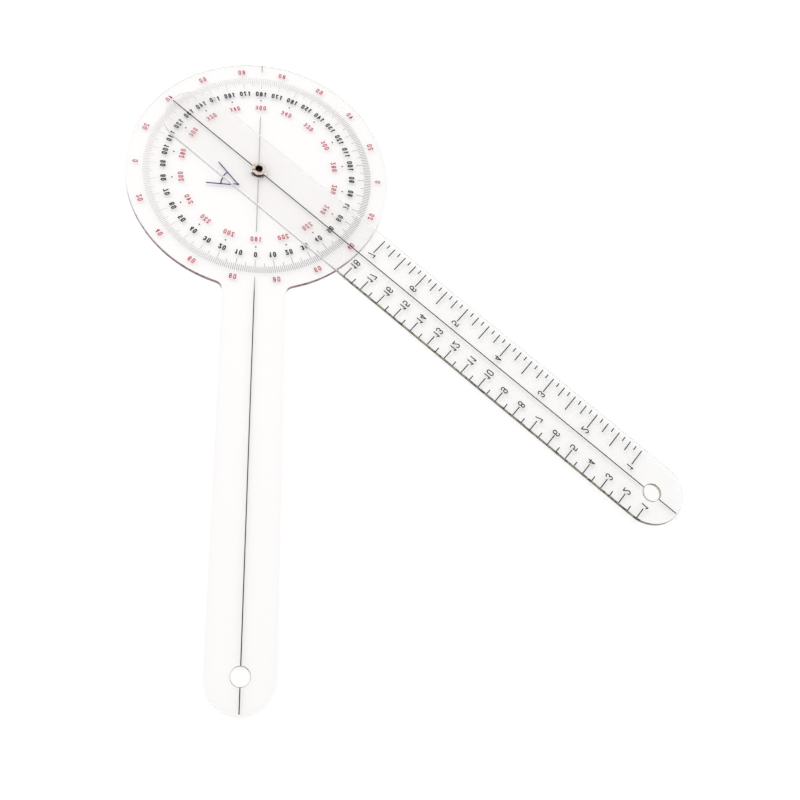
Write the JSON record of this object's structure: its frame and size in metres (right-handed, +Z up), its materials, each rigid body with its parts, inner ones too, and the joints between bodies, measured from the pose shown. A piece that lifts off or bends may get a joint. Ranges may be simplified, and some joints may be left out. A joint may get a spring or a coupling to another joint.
{
  "type": "plastic goniometer",
  "caption": "Clear plastic full-circle goniometer: a protractor blade with an integral arm and a ruler blade that turns on a rivet, with printed degree, inch and centimetre scales.",
  "frame": {"origin": "the pivot axis, on the plane of the protractor blade's underside", "axes": "+Z up along the pivot, away from the surface that the protractor lies on; -Y along the fixed arm; the ruler blade rests 50 degrees from the fixed arm, towards +X"},
  "size_m": [0.2566, 0.3095, 0.0046],
  "materials": {
    "clear_acrylic": "clear, polished",
    "rivet_metal": "dulled dark nickel over brass",
    "black_ink": "screen-printed ink",
    "red_ink": "screen-printed ink",
    "blue_ink": "screen-printed ink"
  },
  "bodies": {
    "protractor": {"protractor_blade": "clear_acrylic", "pivot_rivet": "rivet_metal", "fixed_index_line": "black_ink", "degree_ticks": "black_ink", "black_degree_numerals": "black_ink", "inner_red_numerals": "red_ink", "outer_red_numerals": "red_ink", "twenty_degree_dots": "red_ink", "angle_symbol": "blue_ink"},
    "ruler": {"ruler_blade": "clear_acrylic", "ruler_index_line": "black_ink", "inch_ticks": "black_ink", "inch_numerals": "black_ink", "centimetre_ticks": "black_ink", "centimetre_numerals": "black_ink"}
  },
  "joints": [
    {"name": "ruler_pivot", "type": "hinge", "parent": "protractor", "child": "ruler", "pos_m": [0, 0, 0], "axis": [0, 0, 1], "continuous": true}
  ]
}
